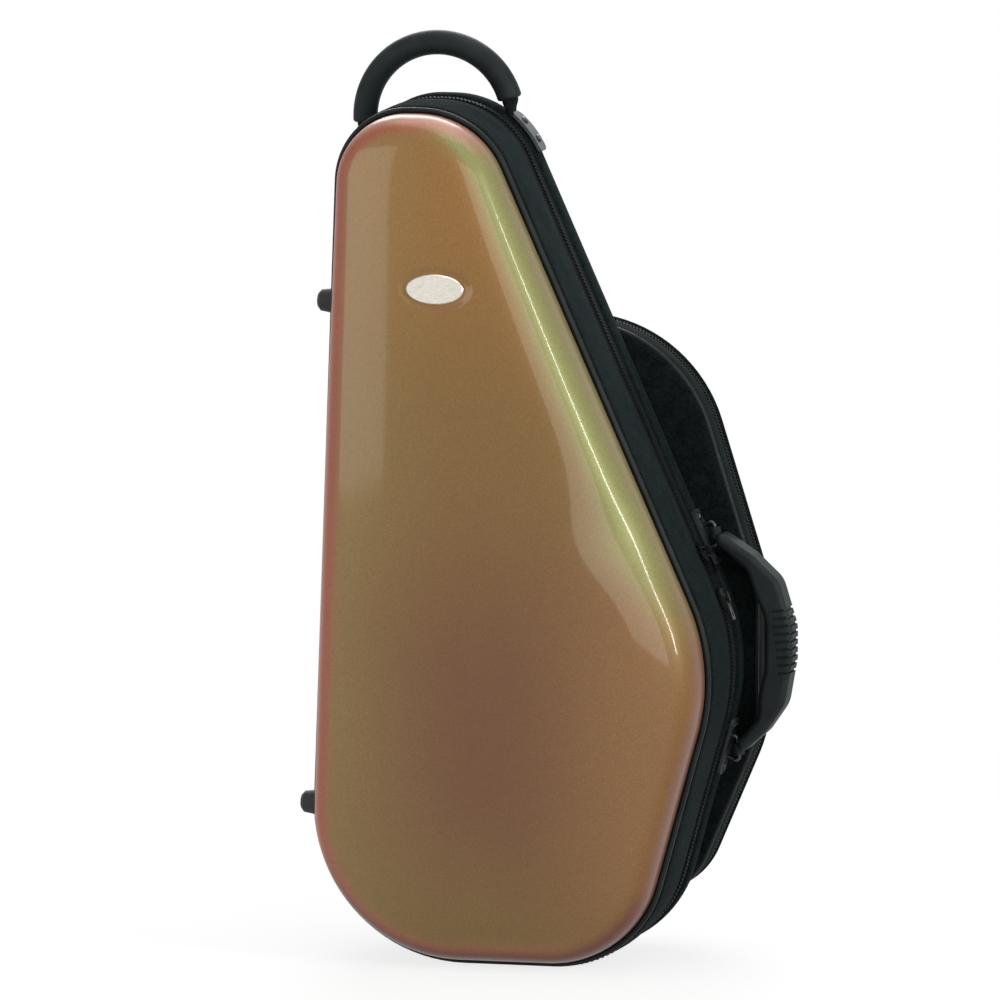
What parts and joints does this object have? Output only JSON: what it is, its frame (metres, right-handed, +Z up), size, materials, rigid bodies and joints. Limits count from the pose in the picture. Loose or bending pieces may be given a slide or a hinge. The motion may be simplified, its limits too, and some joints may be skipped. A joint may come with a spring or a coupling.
{
  "type": "alto saxophone case",
  "caption": "Contoured instrument case with a domed moulded shell, zipped fabric body, fitted foam cradle, rear pocket and carrying handles.",
  "frame": {"origin": "middle of the flat that the case stands on, level with the middle of the fabric body's depth", "axes": "+X towards the bell side with the side handle, +Y towards the pocket on the back, +Z up to the top handle"},
  "size_m": [0.3742, 0.225, 0.7159],
  "materials": {
    "shell": "lacquered, colour-shifting gloss",
    "badge": "polished",
    "lining": "short plush",
    "body_fabric": "woven, slight sheen",
    "webbing": "ribbed webbing",
    "piping": "smooth piping",
    "zip_tape": "woven tape",
    "zip_teeth": "moulded coil",
    "foam": "foam under plush",
    "rubber": "matte",
    "screw": "plated",
    "plate": "grained plate",
    "grip": "soft-touch",
    "metal": "nickel plated"
  },
  "bodies": {
    "tray": {"tray_shell": "body_fabric", "tray_zip_tape": "zip_tape", "tray_zip_teeth": "zip_teeth", "zip_end_stops": "zip_teeth", "tray_hinge_strip": "webbing", "foam_top_block": "foam", "foam_left_rail": "foam", "foam_neck_block": "foam", "foam_bell_block": "foam", "foam_bow_block": "foam", "foam_centre_block": "foam", "foam_base": "foam", "instrument_strap": "webbing", "tray_lower_foot": "rubber", "tray_upper_foot": "rubber", "tray_foot_screws": "screw", "top_handle_plates": "plate", "top_handle_rivets": "metal", "top_handle_tails": "webbing", "side_handle_plates": "plate", "side_handle_rivets": "metal", "side_handle_staples": "metal", "pocket_panel": "body_fabric", "pocket_piping": "piping", "pocket_wall": "body_fabric", "pocket_zip_tape": "zip_tape", "pocket_zip_teeth": "zip_teeth", "pocket_hinge_strip": "webbing", "ring_tabs": "webbing"},
    "lid": {"front_shell": "shell", "badge_plate": "badge", "lid_lining": "lining", "shell_piping": "piping", "lid_gusset": "body_fabric", "lid_zip_tape": "zip_tape", "lid_zip_teeth": "zip_teeth", "lid_hinge_strip": "webbing", "lid_lower_foot": "rubber", "lid_upper_foot": "rubber", "lid_foot_screws": "screw"},
    "top_handle": {"top_handle_grip": "grip", "top_handle_webbing": "webbing"},
    "side_handle": {"side_handle_grip": "grip"},
    "upper_slider": {"upper_slider": "metal"},
    "upper_pull": {"upper_pull": "metal"},
    "lower_slider": {"lower_slider": "metal"},
    "lower_pull": {"lower_pull": "metal"},
    "pocket_flap": {"pocket_flap": "body_fabric", "flap_zip_tape": "zip_tape", "flap_zip_teeth": "zip_teeth", "flap_hinge_strip": "webbing"},
    "pocket_slider": {"pocket_slider": "metal"},
    "pocket_pull": {"pocket_pull": "metal"},
    "upper_strap_ring": {"upper_strap_ring": "metal"},
    "lower_strap_ring": {"lower_strap_ring": "metal"}
  },
  "joints": [
    {"name": "lid_hinge", "type": "hinge", "parent": "tray", "child": "lid", "pos_m": [-0.15432, 0.021, 0.33123], "axis": [-0.0366, 0, -0.9993], "range_deg": [0, 130]},
    {"name": "top_handle_swing", "type": "hinge", "parent": "tray", "child": "top_handle", "pos_m": [-0.1434, 0.0455, 0.6072], "axis": [0.9359, 0, 0.3522], "range_deg": [-25, 25]},
    {"name": "side_handle_swing", "type": "hinge", "parent": "tray", "child": "side_handle", "pos_m": [0.13561, 0.0455, 0.329], "axis": [0.109, 0, -0.994], "range_deg": [0, 30]},
    {"name": "upper_slider_slide", "type": "slide", "parent": "tray", "child": "upper_slider", "axis": [-0.4071, 0, 0.9134], "range_m": [0, 0.325]},
    {"name": "upper_pull_swing", "type": "hinge", "parent": "upper_slider", "child": "upper_pull", "pos_m": [0.13418, 0.021, 0.31795], "axis": [0, -1, 0], "range_deg": [0, 180]},
    {"name": "lower_slider_slide", "type": "hinge", "parent": "tray", "child": "lower_slider", "pos_m": [0.00236, 0.021, 0.22635], "axis": [0, 1, 0], "range_deg": [0, 33]},
    {"name": "lower_pull_swing", "type": "hinge", "parent": "lower_slider", "child": "lower_pull", "pos_m": [0.14975, 0.021, 0.28241], "axis": [0, -1, 0], "range_deg": [0, 180]},
    {"name": "pocket_flap_hinge", "type": "hinge", "parent": "tray", "child": "pocket_flap", "pos_m": [0, 0.0965, 0.0345], "axis": [-1, 0, 0], "range_deg": [0, 90]},
    {"name": "pocket_slider_slide", "type": "slide", "parent": "tray", "child": "pocket_slider", "axis": [0.0264, 0, 0.9997], "range_m": [0, 0.279]},
    {"name": "pocket_pull_swing", "type": "hinge", "parent": "pocket_slider", "child": "pocket_pull", "pos_m": [-0.14029, 0.0965, 0.14608], "axis": [0, 1, 0], "range_deg": [0, 180]},
    {"name": "upper_ring_swing", "type": "hinge", "parent": "tray", "child": "upper_strap_ring", "pos_m": [-0.08, 0.06248, 0.61], "axis": [1, 0, 0], "range_deg": [0, 160]},
    {"name": "lower_ring_swing", "type": "hinge", "parent": "tray", "child": "lower_strap_ring", "pos_m": [-0.16162, 0.0455, 0.17818], "axis": [0, 1, 0], "range_deg": [0, 160]}
  ]
}
